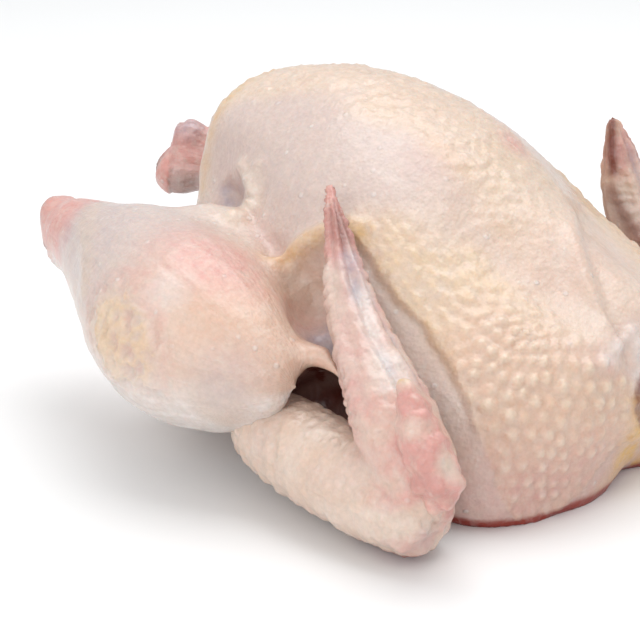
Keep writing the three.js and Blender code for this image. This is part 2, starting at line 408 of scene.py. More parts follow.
def melt(name, bm, voxel, smoothing, hollows=None, subdivide=1):
    """A mesh of the outside of everything in bm, less the hollows, in millimetres."""
    obj = as_object(name + "_raw", bm)
    first = obj.modifiers.new("voxels", "REMESH")
    first.mode = "VOXEL"
    first.voxel_size = voxel
    cutter = None
    if hollows:
        cutter = as_object(name + "_hollows", hollows)
        cut = obj.modifiers.new("hollows", "BOOLEAN")
        cut.operation = "DIFFERENCE"
        cut.solver = "EXACT"
        cut.use_self = True
        cut.object = cutter
        again = obj.modifiers.new("voxels_again", "REMESH")
        again.mode = "VOXEL"
        again.voxel_size = voxel
    if smoothing:
        soften = obj.modifiers.new("soften", "SMOOTH")
        soften.factor = 0.5
        soften.iterations = smoothing
    if subdivide:
        finer = obj.modifiers.new("finer", "SUBSURF")
        finer.levels = finer.render_levels = subdivide
    mesh = baked(obj, name)
    if cutter:
        bpy.data.meshes.remove(cutter.data)
    print(name, "has", len(mesh.polygons), "faces")
    return mesh


def points_of(mesh):
    co = np.empty(len(mesh.vertices) * 3, np.float32)
    mesh.vertices.foreach_get("co", co)
    return co.reshape(-1, 3).astype(float)


def normals_of(mesh):
    no = np.empty(len(mesh.vertices) * 3, np.float32)
    mesh.vertex_normals.foreach_get("vector", no)
    return no.reshape(-1, 3).astype(float)


def set_points(mesh, points):
    mesh.vertices.foreach_set("co", np.asarray(points, np.float32).ravel())
    mesh.update()


# %% [markdown]
# ## Two meltings for the body, one for each wing
#
# The openings are cut from the trunk alone, before anything else is joined to it, so that
# a hock lying near the vent keeps its full shape. Then the limbs and folds are added and
# all of it is melted again, less the gap between leg and wing. A wing lies against the
# body without growing into it, so it is melted by itself, and finer, for its rough skin.

# %% Melt the body and the wings
def add_egg(bm, centre, radii):
    """A plain ellipsoid, for a knuckle of bone under the skin."""
    made = bmesh.ops.create_uvsphere(bm, u_segments=24, v_segments=16, radius=1.0)
    for v in made["verts"]:
        v.co = Vector([c + r * k for c, r, k in zip(centre, radii, v.co)])


def is_wing(name):
    return name.endswith(("forearm", "hand", "thumb"))


def hollow_forms(table):
    bm = bmesh.new()
    for stations in table.values():
        add_form(bm, 24, 20, place_on_limb(stations, (3, 3)))
    return bm


VOXEL = 2.36
WING_VOXEL = 1.4
trunk = bmesh.new()
add_form(trunk, 96, 72, place_on_trunk)
for rim in RIMS.values():
    add_rim(trunk, **rim)
open_trunk = melt("open_trunk", trunk, VOXEL, 0, hollow_forms(OPENINGS), subdivide=0)

body = bmesh.new()
body.from_mesh(open_trunk)
for limb, (stations, ends) in LIMBS.items():
    if not is_wing(limb):
        add_form(body, 40, 32, place_on_limb(stations, ends))
for stations, ends in FOLDS.values():
    add_form(body, 20, 24, place_on_limb(stations, ends))
for hock in ("left_hock", "right_hock"):
    for centre, radii in KNUCKLES[hock]:
        add_egg(body, centre, radii)
skin_mesh = melt("skin", body, VOXEL, 3, hollow_forms(GAPS))
bpy.data.meshes.remove(open_trunk)

wing_meshes = {}
for side in ("left", "right"):
    wing = bmesh.new()
    for bone in ("forearm", "hand", "thumb"):
        stations, ends = LIMBS[f"{side}_{bone}"]
        add_form(wing, 40, 40, place_on_limb(stations, ends))
    wing_meshes[side] = melt(f"{side}_wing", wing, WING_VOXEL, 4)

# %% [markdown]
# ## Noise that never changes
#
# Relief needs chance, but the same chance each time the script runs. A hash turns whole
# numbers into a fixed number from 0 to 1, and smooth noise blends such numbers between
# the corners of a grid of cubes.

# %% Hash and cloud
def toss(a, b, seed, c=0.0):
    """A fixed number from 0 to 1 for whole numbers a, b and c."""
    h = np.sin(a * 127.1 + b * 311.7 + c * 191.3 + seed * 74.7) * 43758.5453
    return h - np.floor(h)


def cloud(points, size, seed=0):
    """Smooth noise from about -1 to 1 whose features are about size across."""
    q = np.asarray(points, float) / size + seed * 17.31
    cell = np.floor(q)
    f = q - cell
    w = f**3 * (f * (6 * f - 15) + 10)
    total = np.zeros(len(q))
    for corner in itertools.product((0, 1), repeat=3):
        at = cell + corner
        share = np.prod(np.where(np.array(corner, bool), w, 1 - w), axis=1)
        for axis in range(3):
            slope = 2 * toss(at[:, 0], at[:, 1], seed + 31 * axis, at[:, 2]) - 1
            total += share * slope * (f[:, axis] - corner[axis])
    return 1.7 * total


print("noise repeats:", toss(1, 2, 3) == toss(1, 2, 3))

# %% [markdown]
# ## Reading places on the skin
#
# Relief and colour follow the body: down a drumstick, round the breast, along a fold.
# So each vertex is told where it lies: how far along the nearest form, at which angle
# round it, and how near the form's own surface. Noise and rows of follicles are then
# written in these body measures.

# %% Places on limbs and on the trunk
ARC_RADIUS = 58.0


def locate(points, stations, ends):
    """t, angle and depth (1 on the surface) of each point on a limb."""
    samples = np.linspace(0, 1, 81)
    centre, side, top = frame_along(stations, samples)
    gap = (points**2).sum(1)[:, None] - 2 * points @ centre.T + (centre**2).sum(1)
    k = gap.argmin(1)
    t = samples[k]
    size = through(np.asarray(stations, float)[:, 3:5], t)
    size *= np.maximum(fullness(t, ends), 0.35)[:, None]
    off = points - centre[k]
    a = (off * side[k]).sum(1) / size[:, 0]
    b = (off * top[k]).sum(1) / size[:, 1]
    return t, np.arctan2(b, a), np.hypot(a, b)


def locate_on_trunk(points):
    """x, degrees above level, arc length round the side, and depth on the trunk."""
    t = (points[:, 0] - TRUNK_ENDS[0]) / (TRUNK_ENDS[1] - TRUNK_ENDS[0])
    t = np.clip(t, 0.001, 0.999)
    up = points[:, 2] - through(TRUNK_MIDDLES[:, None], t)[:, 0]
    level = np.degrees(np.arctan2(up, np.abs(points[:, 1])))
    r = trunk_radius(t, level) * np.maximum(fullness(t, TRUNK_SQUARENESS), 0.5)
    past_end = np.maximum(TRUNK_ENDS[0] - points[:, 0], points[:, 0] - TRUNK_ENDS[1])
    depth = np.hypot(points[:, 1], up) / r + np.maximum(past_end - 3, 0) / 15
    return points[:, 0], level, np.radians(level) * ARC_RADIUS, depth


print("places can be read on the trunk and on", len(LIMBS), "limbs")

# %% [markdown]
# ## Marks at a point and along a line
#
# A dimple, a bruise or a cord is a mark at one place. Three shapes serve for all of them:
# a round spot, a bell curve that fades on both sides of a line, and the distance to a bent
# line that gives the bell its measure. Seen along a direction, a line also marks skin that
# lies a little in front of it or behind it, as a thread laid over the bird would.

# %% Spots, bells and lines
def bell(distance, width):
    """1 on the line, fading smoothly to nothing about two widths away."""
    return np.exp(-((distance / width) ** 2))


def left_and_right(line):
    """A line on the left side, and its mirror image on the right."""
    return line, [(x, -y, z) for x, y, z in line]


def spot(points, centre, radius):
    """1 at a centre, fading to 0 at the radius."""
    d = np.linalg.norm(points - np.array(centre, float), axis=1) / radius
    return np.clip(1 - d * d, 0, 1) ** 2


def near_line(points, line, inwards=None, reach=9.0):
    """The distance of each point to a bent line, seen along inwards if that is given."""
    line = np.asarray(line, float)
    best = np.full(len(points), 1e9)
    for a, b in zip(line[:-1], line[1:]):
        ab = b - a
        f = np.clip((points - a) @ ab / (ab @ ab), 0, 1)
        gap = points - a - f[:, None] * ab
        far = np.zeros(len(points))
        if inwards is not None:
            sunk = gap @ np.array(inwards, float)
            gap = gap - sunk[:, None] * np.array(inwards, float)
            far = 9 * np.maximum(np.abs(sunk) - reach, 0)
        best = np.minimum(best, np.linalg.norm(gap, axis=1) + far)
    return best


print("a bell one width out is", round(float(bell(1.0, 1.0)), 2))

# %% [markdown]
# ## Rows of follicles
#
# Follicles stand in rows, each row shifted by half a space, like tiles. So for each vertex
# only the nine nearest places in the pattern matter, and the tallest bump there wins. Each
# place is moved a little by chance and each bump gets its own height.

# %% Follicle pattern
def follicles(u, v, spacing, size, seed, jitter=0.22, stretch=1.0):
    """Rows of round bumps in the plane (u, v), each a little out of place."""
    step = spacing * 0.866 * stretch
    height = np.zeros(len(u))
    base_row = np.round(v / step)
    for row in (base_row - 1, base_row, base_row + 1):
        shift = 0.5 * spacing * np.mod(row, 2)
        base_col = np.round((u - shift) / spacing)
        for col in (base_col - 1, base_col, base_col + 1):
            cu = col * spacing + shift + (toss(col, row, seed) - 0.5) * 2 * jitter * spacing
            cv = row * step + (toss(row, col, seed + 5) - 0.5) * 2 * jitter * step
            tall = 0.55 + 0.6 * toss(col, row, seed + 9)
            far = ((u - cu) / size) ** 2 + ((v - cv) / (size * stretch)) ** 2
            height = np.maximum(height, tall * np.exp(-(far**1.3)))
    return height


print("a follicle pattern is ready")

# %% [markdown]
# ## Relief of the trunk
#
# Feathers grew in tracts. A tract leaves rows of raised follicles and a thick creamy skin
# that ends in a step, and between the tracts the skin is thin and smooth. The big tract
# runs down each side of the breast and widens to the shoulder, and a finer one covers the
# keel. Both are written once for the two sides, because a bird is alike on both.

# %% Where the tracts are
skin = points_of(skin_mesh)
trunk_x, trunk_level, trunk_arc, trunk_depth = locate_on_trunk(skin)
body_limbs = [name for name in LIMBS if name.endswith(("thigh", "drumstick", "tail"))]
where = {name: locate(skin, *LIMBS[name]) for name in body_limbs}
depths = np.column_stack([trunk_depth] + [where[name][2] for name in body_limbs])


def share_of(column):
    """How much a point belongs to one form: 1 on it, 0 on a neighbour."""
    rest = np.delete(depths, column, axis=1).min(axis=1)
    return 1 / (1 + np.exp(9 * (depths[:, column] - rest)))


on_trunk = share_of(0)
on_limb = {name: share_of(1 + k) for k, name in enumerate(body_limbs)}

EDGE_RADIUS = 56.0
TRACT_EDGE_X = [0, 12, 20, 30, 42, 52, 62, 69, 75]
TRACT_EDGE_LEVEL = [38, 33, 28, 23.5, 17, 11, 3, -9, -40]
TRACT_TOP_X = [0, 13, 23, 33, 43, 56, 71, 84]
TRACT_TOP_LEVEL = [40, 38, 42, 46, 48, 44, 38, 30]
edge_level = np.interp(trunk_x, TRACT_EDGE_X, TRACT_EDGE_LEVEL)
above_edge = np.radians(trunk_level - edge_level) * EDGE_RADIUS + 1.6 * cloud(skin, 9, 3)
below_top = np.interp(trunk_x, TRACT_TOP_X, TRACT_TOP_LEVEL) - trunk_level
tract = (
    smoothstep(-0.8, 2.2, above_edge)
    * smoothstep(-12, 10, below_top + 6 * cloud(skin, 12, 5))
    * smoothstep(4, 15, trunk_x)
    * on_trunk
)
KEEL_X = [-70, -59, -47, -28, -12, 24, 50]
KEEL_LEVEL = [46, 54, 61, 66, 68, 66, 60]
above_keel_edge = trunk_level - np.interp(trunk_x, KEEL_X, KEEL_LEVEL)
keel = (
    smoothstep(-5, 9, above_keel_edge + 7 * cloud(skin, 14, 8))
    * smoothstep(-76, -60, trunk_x)
    * smoothstep(62, 30, trunk_x)
    * on_trunk
)
bare = on_trunk * (1 - tract) * (1 - keel)
print("tract", round(float(tract.mean()) * 100), "% and keel", round(float(keel.mean()) * 100), "%")

# %% [markdown]
# ## Pearls, grain, cobbles and pimples
#
# One table holds every kind of bump, and one holds their heights in millimetres. The
# shoulder has tall pearls in slanting rows. Over the front of the breast the rows would
# crowd together if they followed the side, so there they are measured from the front. The
# tract has finer grain, the keel low cobbles, and the bare skin between a few pimples.

# %% Follicles, the tract's step and the fine pimples
BUMPS = dict(
    pearls=dict(spacing=4.6, size=1.6, seed=1, jitter=0.2, stretch=1.2),
    grain=dict(spacing=3.9, size=1.45, seed=2, jitter=0.3),
    cobbles=dict(spacing=3.9, size=1.5, seed=3, jitter=0.34),
    pimples=dict(spacing=7.5, size=0.95, seed=4, jitter=0.38),
)
HEIGHT = dict(
    pearls=1.6,
    grain=0.9,
    leather=0.3,
    cobbles=0.62,
    keel_leather=0.4,
    pimples=0.22,
    step=0.9,
    groove=0.5,
)
FRONT_START, FRONT_FULL = 60, 76
ROW_SLANT = 0.35
front = smoothstep(FRONT_START, FRONT_FULL, trunk_x)
round_front = 0.68 * trunk_x - 0.73 * np.abs(skin[:, 1]) + 58
pearl_u = (1 - front) * trunk_x + front * round_front
pearl_v = (1 - front) * trunk_arc + front * (skin[:, 2] - 30)
pearls = follicles(pearl_u - pearl_v * 0.2, pearl_v + pearl_u * 0.22, **BUMPS["pearls"])
pearl_zone = smoothstep(40, 60, trunk_x) * smoothstep(46, 27, trunk_level) * on_trunk
pearl_zone *= smoothstep(-44, -24, trunk_level) * smoothstep(-3, 5, above_edge)
pearl_zone *= smoothstep(88, 85, trunk_x)
slant = trunk_arc + trunk_x * ROW_SLANT
grain = follicles(trunk_x * 0.8 + trunk_arc * 0.3, slant, **BUMPS["grain"])
cobbles = follicles(trunk_x, trunk_arc, **BUMPS["cobbles"])
leather = 1 - np.abs(cloud(skin, 3.6, 41)) * 1.6
pimples = follicles(trunk_x, trunk_arc, **BUMPS["pimples"])
step_up = smoothstep(-1.4, 1.6, above_edge) * np.exp(-np.maximum(above_edge, 0) / 16)
step_zone = smoothstep(4, 14, trunk_x) * smoothstep(66, 54, trunk_x) * on_trunk
groove = bell(above_edge + 1.6, 1.2)
tract_skin = HEIGHT["grain"] * grain + HEIGHT["leather"] * leather
keel_skin = HEIGHT["cobbles"] * cobbles + HEIGHT["keel_leather"] * leather
relief = (
    HEIGHT["pearls"] * pearls * pearl_zone
    + tract_skin * tract * (1 - 0.85 * pearl_zone)
    + keel_skin * keel
    + HEIGHT["pimples"] * pimples * bare
    + HEIGHT["step"] * step_up * step_zone
    - HEIGHT["groove"] * groove * step_zone
)
tallest = float((HEIGHT["pearls"] * pearls * pearl_zone).max())
print("tallest follicle", round(tallest, 2), "mm")

# %% [markdown]
# ## Creases, dents and stretched skin
#
# Next come the single features that make this bird this bird. The breast ends in front
# in a fold, where the skin steps down towards the neck: a smooth step along a curve in
# plan, with a low swelling before it. Shallow dents are spots taken away, and three sizes
# of noise keep any wide stretch from being perfectly even.

# %% Folds and dents of the body
FOLD_Y = [-24, -19, -14, -12, -7, -1, 7, 12, 20]
FOLD_X = [90, 87, 84, 77, 69.5, 61.5, 56, 51, 44]
past_fold = (skin[:, 0] - np.interp(skin[:, 1], FOLD_Y, FOLD_X)) * 0.75
fold_zone = smoothstep(-30, -18, skin[:, 1]) * smoothstep(26, 12, skin[:, 1])
fold_zone *= smoothstep(34, 44, skin[:, 2]) * smoothstep(46, 54, skin[:, 0])
FOLD_STEP = 2.3
FOLD_SWELLING = 0.8
fading = np.exp(-np.maximum(past_fold, 0) / 9)
relief -= FOLD_STEP * smoothstep(-3.6, 3.0, past_fold) * fading * fold_zone
relief += FOLD_SWELLING * bell(past_fold + 4, 4) * fold_zone
DENTS = [
    ((8, -53, 56), 15, 3.2),
    ((3, 53, 56), 15, 3.2),
    ((-44, -35, 69), 11, 3.4),
    ((-44, 35, 69), 11, 3.4),
    ((-53, -29, 77), 16, 1.2),
    ((-53, 29, 77), 16, 1.2),
    ((-8, -96, 28), 15, 0.8),
    ((58, -50, 30), 16, -1.2),
]
for centre, radius, depth in DENTS:
    relief -= depth * spot(skin, centre, radius)
UNEVENNESS = [(0.55, 24, 1), (0.22, 9, 2), (0.12, 4.5, 7)]
for height, size, seed in UNEVENNESS:
    relief += height * cloud(skin, size, seed)
print("folds and dents down to", round(float(relief.min()), 1), "mm")

# %% [markdown]
# ## Legs
#
# A drumstick's skin was cut in a ring near the hock, so it ends in a small cuff there, a
# swelling with a sharp step behind it. The thigh has a patch of loose crumpled skin on its
# outer side. Crumpled skin has sharp ridges and round valleys, which is what one minus the
# size of a noise gives.

# %% Cuffs and crumpled skin
CUFF_AT = 0.845
CUFF_HEIGHT = 1.1
CUFF_STEP = 0.8
CRUMPLE_HEIGHT = 2.6
CRUMPLE_FLOOR = 0.6
crumpled = {}
for side, sign in (("left", 1), ("right", -1)):
    t, angle, _ = where[f"{side}_drumstick"]
    mine = on_limb[f"{side}_drumstick"]
    round_leg = np.column_stack([t * 5, np.cos(angle) * 7, np.sin(angle) * 7])
    relief += mine * smoothstep(0.5, 0.95, t) * 0.6 * cloud(round_leg, 1.0, 11 + sign)
    cuff = t - CUFF_AT + 0.012 * np.sin(3 * angle)
    relief += mine * CUFF_HEIGHT * bell(np.minimum(cuff, 0), 0.035) * (cuff < 0)
    relief -= mine * CUFF_STEP * smoothstep(0, 0.012, cuff)
    soft = np.column_stack([t * 16, np.cos(angle) * 9, np.sin(angle) * 9])
    relief += mine * smoothstep(0.75, 0.35, t) * 0.25 * cloud(soft, 1.0, 13 + sign)
    crumple = 1 - np.abs(cloud(skin * [1.0, 1.0, 0.6], 3.4, 15))
    patch = spot(skin, (-29, sign * -99, 50), 24) + 0.8 * spot(skin, (-20, sign * -101, 40), 20)
    crumpled[side] = mine * np.minimum(patch, 1) * crumple
    relief += CRUMPLE_HEIGHT * (crumpled[side] - CRUMPLE_FLOOR * mine * np.minimum(patch, 1))
print("cuffs and crumpled skin on", len(crumpled), "legs")

# %% [markdown]
# ## Cords, creases and the ragged neck
#
# Where the belly's skin is pulled to the leg it gathers into a cord with a short fork, a
# crease runs on from it along the leg, and behind it the thin skin sinks into a pocket.
# The cut skin of the neck has a ragged lip. All are bells along lines, laid on the skin as
# it is seen from the bird's left front, and then mirrored for its other side.

# %% Lines of the web and the neck
WEB_CORD = [
    (-41.2, -32.2, 78.7),
    (-37.5, -33.1, 75.5),
    (-28.8, -41.6, 75.2),
    (-25.7, -46.4, 73.2),
    (-23.9, -51.5, 71.7),
    (-26.6, -53.2, 71),
]
WEB_FORK = [(-31.3, -36.4, 82), (-30.6, -38.6, 78), (-28.8, -41.6, 75.2)]
WEB_CREASE = [(-22, -50, 71), (-13, -52, 66), (-6, -54, 62)]
WEB_POCKET = [(-50, -31, 69.5), (-46, -34, 67.5), (-40, -39, 67.5)]
NECK_EDGE = [
    (84, -21.7, 45.3),
    (84, -16.2, 46.9),
    (84, -9.1, 49.3),
    (84, -7.8, 43),
    (84, -8.1, 35.6),
    (84, -8, 29.5),
]
FROM_LEFT_FRONT = (0.604, -0.720, 0.342)
FROM_RIGHT_FRONT = (0.604, 0.720, 0.342)


def near_either(line, reach=9.0):
    """The distance to a line on the left or to its mirror image, whichever is nearer."""
    left, right = left_and_right(line)
    return np.minimum(
        near_line(skin, left, FROM_LEFT_FRONT, reach),
        near_line(skin, right, FROM_RIGHT_FRONT, reach),
    )


relief += 2.2 * bell(near_either(WEB_CORD), 2.0)
relief += 0.9 * bell(near_either(WEB_FORK), 1.7)
relief -= 1.5 * bell(near_either(WEB_CREASE), 2.4)
relief -= 2.6 * bell(near_either(WEB_POCKET), 2.6)
ragged = 0.7 + 0.8 * cloud(skin, 3.5, 17)
relief += 1.6 * ragged * bell(near_either(NECK_EDGE, 7), 1.7)
LOW_FRONT_TUCK = 3.5
low_front = smoothstep(68, 82, skin[:, 0]) * smoothstep(28, 8, skin[:, 2])
relief -= LOW_FRONT_TUCK * low_front * on_trunk
print("deepest line", round(float(relief.min()), 1), "mm")

# %% [markdown]
# ## Pleats
#
# Small pleats of skin run round the leg before the hock, down the crumpled patch, and
# from the web up over the belly. Each row is a line on the left, its width and its height,
# and all of them repeat on the right. After them the relief is complete, and every vertex
# moves along its own normal by that much.

# %% Pleats, and the relief put on the skin
HOCK_FOLD = [
    (-80, -62, 65.5),
    (-72, -70, 64.5),
    (-62.6, -78.7, 62.5),
    (-54, -86.5, 58.5),
    (-50, -91, 53),
]
SECOND_FOLD = [(-78, -58, 66.5), (-69, -68, 66), (-60, -77, 64), (-51, -86, 60), (-47, -91, 54)]
HOCK_PLEATS = [(HOCK_FOLD, 2.6, 0.5), (SECOND_FOLD, 2.4, 0.3)]
LEG_PLEATS = [
    ([(-37, -96, 53), (-34, -99, 47), (-31, -101, 41), (-27, -101, 35)], 2.2, 1.7),
    ([(-30, -98, 51), (-27, -101, 45), (-23, -102, 37)], 1.7, 1.0),
    ([(-41, -94, 47), (-37, -97, 40), (-31, -99, 33)], 1.8, 0.9),
    ([(-12, -51, 86), (-20, -46, 82), (-29, -41, 77)], 1.3, 0.6),
    ([(-8, -53, 78), (-16, -50, 77), (-26, -45, 74)], 1.3, 0.5),
    ([(-22, -38, 90), (-27, -37, 85), (-33, -36, 81)], 1.2, 0.55),
]
for line, width, height in HOCK_PLEATS + LEG_PLEATS:
    for own in left_and_right(line):
        relief += height * bell(near_line(skin, own), width)
skin = skin + normals_of(skin_mesh) * relief[:, None]
print("relief from", round(float(relief.min()), 1), "to", round(float(relief.max()), 1), "mm")

# %% [markdown]
# ## Weight
#
# A carcass is soft, so it sags: it meets the board in a wide flat patch, and just above
# the board its sides stand almost upright. The trunk's table already has that sag, and here
# nothing is left below the ground.

# %% Sag and set the points
skin[:, 2] = np.maximum(skin[:, 2], 0.0)
set_points(skin_mesh, skin)
print("flat on the ground:", int((skin[:, 2] <= 0.01).sum()), "points")

# %% [markdown]
# ## Relief of the wings
#
# A wing has the roughest skin of the bird: the quills were pulled from its edges, which
# leaves a row of notches, and down the hand the skin sinks into long grooves beside the
# tendon. The forearm has slanting pleats and rows of quill bumps, and the wrist and the
# thumb are knobbly. The hand's relief and the forearm's are blended where they meet.

# %% Wing relief
WRIST_REACH = 27
WRIST_NOTCH = dict(depth=2.2, z=18, width=2.6)
WING_HEIGHT = dict(
    notch=0.7,
    valley=1.0,
    tendon=0.6,
    hand_folds=0.75,
    hand_grain=0.45,
    pits=0.4,
    pleats=0.6,
    quills=0.45,
)


def hand_relief(wing, t, across, face, valley, tendon):
    """Notches on the edges, long grooves and tendons, folds, grain and quill pits."""
    notch = np.abs(np.sin(t * 62 + 5 * cloud(wing, 14, 20)))
    rim = smoothstep(0.8, 1.0, np.abs(across)) * smoothstep(0.2, 0.35, t) * smoothstep(1, 0.9, t)
    along_hand = np.column_stack([t * 6, across * 3.2, face * 3.2])
    pits = follicles(t * 80 + across * 6, across * 10, 3.8, 1.1, 9, 0.4)
    return (
        WING_HEIGHT["notch"] * notch * rim
        - WING_HEIGHT["valley"] * valley * smoothstep(0.3, 0.45, t) * smoothstep(1.0, 0.85, t)
        + WING_HEIGHT["tendon"] * tendon * smoothstep(0.2, 0.4, t) * smoothstep(0.9, 0.7, t)
        + WING_HEIGHT["hand_folds"] * cloud(along_hand, 1.0, 21)
        + WING_HEIGHT["hand_grain"] * cloud(wing, 4.5, 27)
        - WING_HEIGHT["pits"] * pits
    )


def forearm_relief(wing, t, angle):
    """Slanting pleats, rows of quill bumps and a slow swelling."""
    round_arm = np.column_stack([t * 30 + np.sin(angle) * 1.5, angle * 1.1, t * 0])
    pleats = cloud(round_arm, 1.0, 23)
    quills = follicles(t * 80, angle * 12, 4.8, 1.5, 7, 0.32)
    return WING_HEIGHT["pleats"] * pleats + WING_HEIGHT["quills"] * quills + 0.35 * cloud(wing, 8, 28)


wing_places = {}
for side, mesh in wing_meshes.items():
    wing = points_of(mesh)
    bones = {bone: locate(wing, *LIMBS[f"{side}_{bone}"]) for bone in ("forearm", "hand", "thumb")}
    hand = 1 / (1 + np.exp(8 * (bones["hand"][2] - bones["forearm"][2])))
    t, angle, _ = bones["hand"]
    face = np.sin(angle)
    across = -np.cos(angle) if side == "left" else np.cos(angle)
    valley = bell(across - 0.02 - 0.1 * cloud(wing, 20, 29), 0.16) + 0.8 * bell(across - 0.66, 0.13)
    valley *= smoothstep(0, 0.4, face)
    tendon = bell(across - 0.33, 0.2) * smoothstep(0, 0.4, face)
    height = hand * hand_relief(wing, t, across, face, valley, tendon)
    height += (1 - hand) * forearm_relief(wing, *bones["forearm"][:2])
    wrist_end = LIMBS[f"{side}_forearm"][0][2][:3]
    wrist = spot(wing, wrist_end, WRIST_REACH)
    knobs = follicles(wing[:, 0], wing[:, 2] + 0.4 * wing[:, 1], 5.0, 2.0, 8, 0.36)
    height += wrist * (1.0 * knobs + 1.5 * cloud(wing, 8, 24) + 0.5 * cloud(wing, 3, 25))
    joint_end = smoothstep(-5, 3, wing[:, 0] - wrist_end[0])
    height_of_notch = wing[:, 2] - WRIST_NOTCH["z"]
    height -= WRIST_NOTCH["depth"] * bell(height_of_notch, WRIST_NOTCH["width"]) * joint_end
    on_thumb = smoothstep(1.35, 1.0, bones["thumb"][2])
    height += on_thumb * (0.9 * knobs + 0.6 * cloud(wing, 3.4, 25))
    wing_places[side] = dict(
        bones=bones, hand=hand, wrist=wrist, valley=valley, tendon=tendon, thumb=on_thumb
    )
    wing = wing + normals_of(mesh) * height[:, None]
    wing[:, 2] = np.maximum(wing[:, 2], 0.0)
    set_points(mesh, wing)
    print(side, "wing relief up to", round(float(height.max()), 2), "mm")

# %% [markdown]
# ## Colour masks
#
# Raw skin has no single colour. It is creamy over the tracts and over fat, grey-pink where
# it is thin over muscle, lilac where a bone or a vein lies close, pink at the ends of the
# limbs, and red where the bird was cut. Some masks also carry painted light and shade: dark
# red in the gap between leg and wing, peach and lilac in recesses, a pale painted
# reflection under the legs. Each of these is a mask painted by place on the body and
# stored on the points, and the material turns the masks into colour.

# %% Masks on the points
def store(mesh, **masks):
    """Each mask as an attribute of the mesh's points, kept from 0 to 1."""
    for name, values in masks.items():
        attribute = mesh.attributes.new(name, "FLOAT", "POINT")
        attribute.data.foreach_set("value", np.clip(values, 0, 1).astype(np.float32))


def store_flow(mesh, along, across):
    """Places along and across the pull of the skin, in millimetres."""
    flow = np.column_stack([along, across, np.zeros(len(along))]).astype(np.float32)
    attribute = mesh.attributes.new("flow", "FLOAT_VECTOR", "POINT")
    attribute.data.foreach_set("vector", flow.ravel())


def both_sides(points, centre, radius):
    """A spot on the left and its mirror image on the right."""
    x, y, z = centre
    return spot(points, (x, y, z), radius) + spot(points, (x, -y, z), radius)


print("masks are stored on the points")

# %% [markdown]
# ## The ground colours of the body
#
# The masks of the tracts and follicles are already there from the relief, so the colours
# start from them: cream on the tracts and on each pearl, a little pink between the pearls,
# and lilac where the belly's skin is bare and thin.

# %% Paint the trunk
drift = cloud(skin, 18, 31)
mottle = cloud(skin, 8, 32)
high = smoothstep(0.35, 0.95, pearls) * pearl_zone
cream = 0.72 * tract + 0.4 * keel + 0.55 * high
cream += 0.3 * smoothstep(0.4, 0.9, grain) * tract * (1 - pearl_zone)
cream += 0.22 * on_trunk * smoothstep(10, 40, trunk_x) * smoothstep(30, 50, trunk_level)
pink = 0.06 * on_trunk + 0.2 * pearl_zone * (1 - high)
lilac = 0.24 * bare * smoothstep(60, 0, trunk_x) * smoothstep(0, 30, trunk_level)
pale = 0.3 * high + 0.15 * smoothstep(0.5, 0.95, cobbles) * keel
meat = np.zeros(len(skin))
fat = np.zeros(len(skin))
print("cream over", round(float((cream > 0.3).mean()) * 100), "% of the skin")

# %% [markdown]
# ## The colours of the legs
#
# A drumstick is lilac along its upper side, painted pale below as a painted reflection of
# the white ground, and pink to red at the cut hock. A ring of cream marks the cuff, the
# knee is warmer, and the crumpled patch is cream on its ridges and pink between them. The
# right hock is pinker, and dark red is painted over its underside as painted shade.

# %% Paint the legs
HOCK_STARTS, HOCK_FULL = -72, -90
for side in ("left", "right"):
    t, angle, _ = where[f"{side}_drumstick"]
    mine = on_limb[f"{side}_drumstick"]
    lift = np.sin(angle)
    upper_side = smoothstep(0.24, 0.5, t) * smoothstep(0.76, 0.66, t) * smoothstep(-0.4, 0.4, lift)
    lilac += mine * 0.42 * upper_side
    # Painted reflection: the drumstick's underside is painted pale, as if lit by the white ground.
    pale += mine * 0.9 * smoothstep(0.2, -0.6, lift)
    end = smoothstep(HOCK_STARTS, HOCK_FULL, skin[:, 0] + 5 * mottle) * smoothstep(0.64, 0.8, t)
    pink += 1.2 * end + 0.25 * mine * smoothstep(0.66, 0.78, t)
    meat += 0.2 * smoothstep(-103, -109, skin[:, 0] + 3 * mottle) * end
    if side == "right":
        # Painted shade: the right hock's underside is painted dark red.
        meat += 0.42 * mine * smoothstep(0.7, 0.8, t) * smoothstep(0.1, -0.7, lift)
        pink += 0.6 * mine * smoothstep(0.7, 0.85, t)
        lilac += 0.7 * spot(skin, (-98, 4, 76), 9)
    cream += mine * 0.5 * bell(t - 0.83, 0.014)
    cream += 0.9 * smoothstep(0.62, 0.9, crumpled[side])
    pink += 0.25 * smoothstep(0.6, 0.35, crumpled[side]) * smoothstep(0.1, 0.3, crumpled[side])
    knee = smoothstep(0.42, 0.1, t) * smoothstep(-0.5, 0.2, lift)
    cream += mine * 0.35 * knee
    pink += mine * 0.22 * knee
print("legs painted, hocks from x", HOCK_STARTS, "mm")

# %% [markdown]
# ## Patches
#
# Raw skin is never even, so soft patches of one colour or another are laid over the rest.
# Some are painted light and shade instead: peach and lilac in the recess of the flank, and
# lilac and pink in the pocket behind the web's cord.
# A row says which mask it adds to, where its middle lies on the left side, how far it
# reaches and how strong it is, and it repeats on the right.

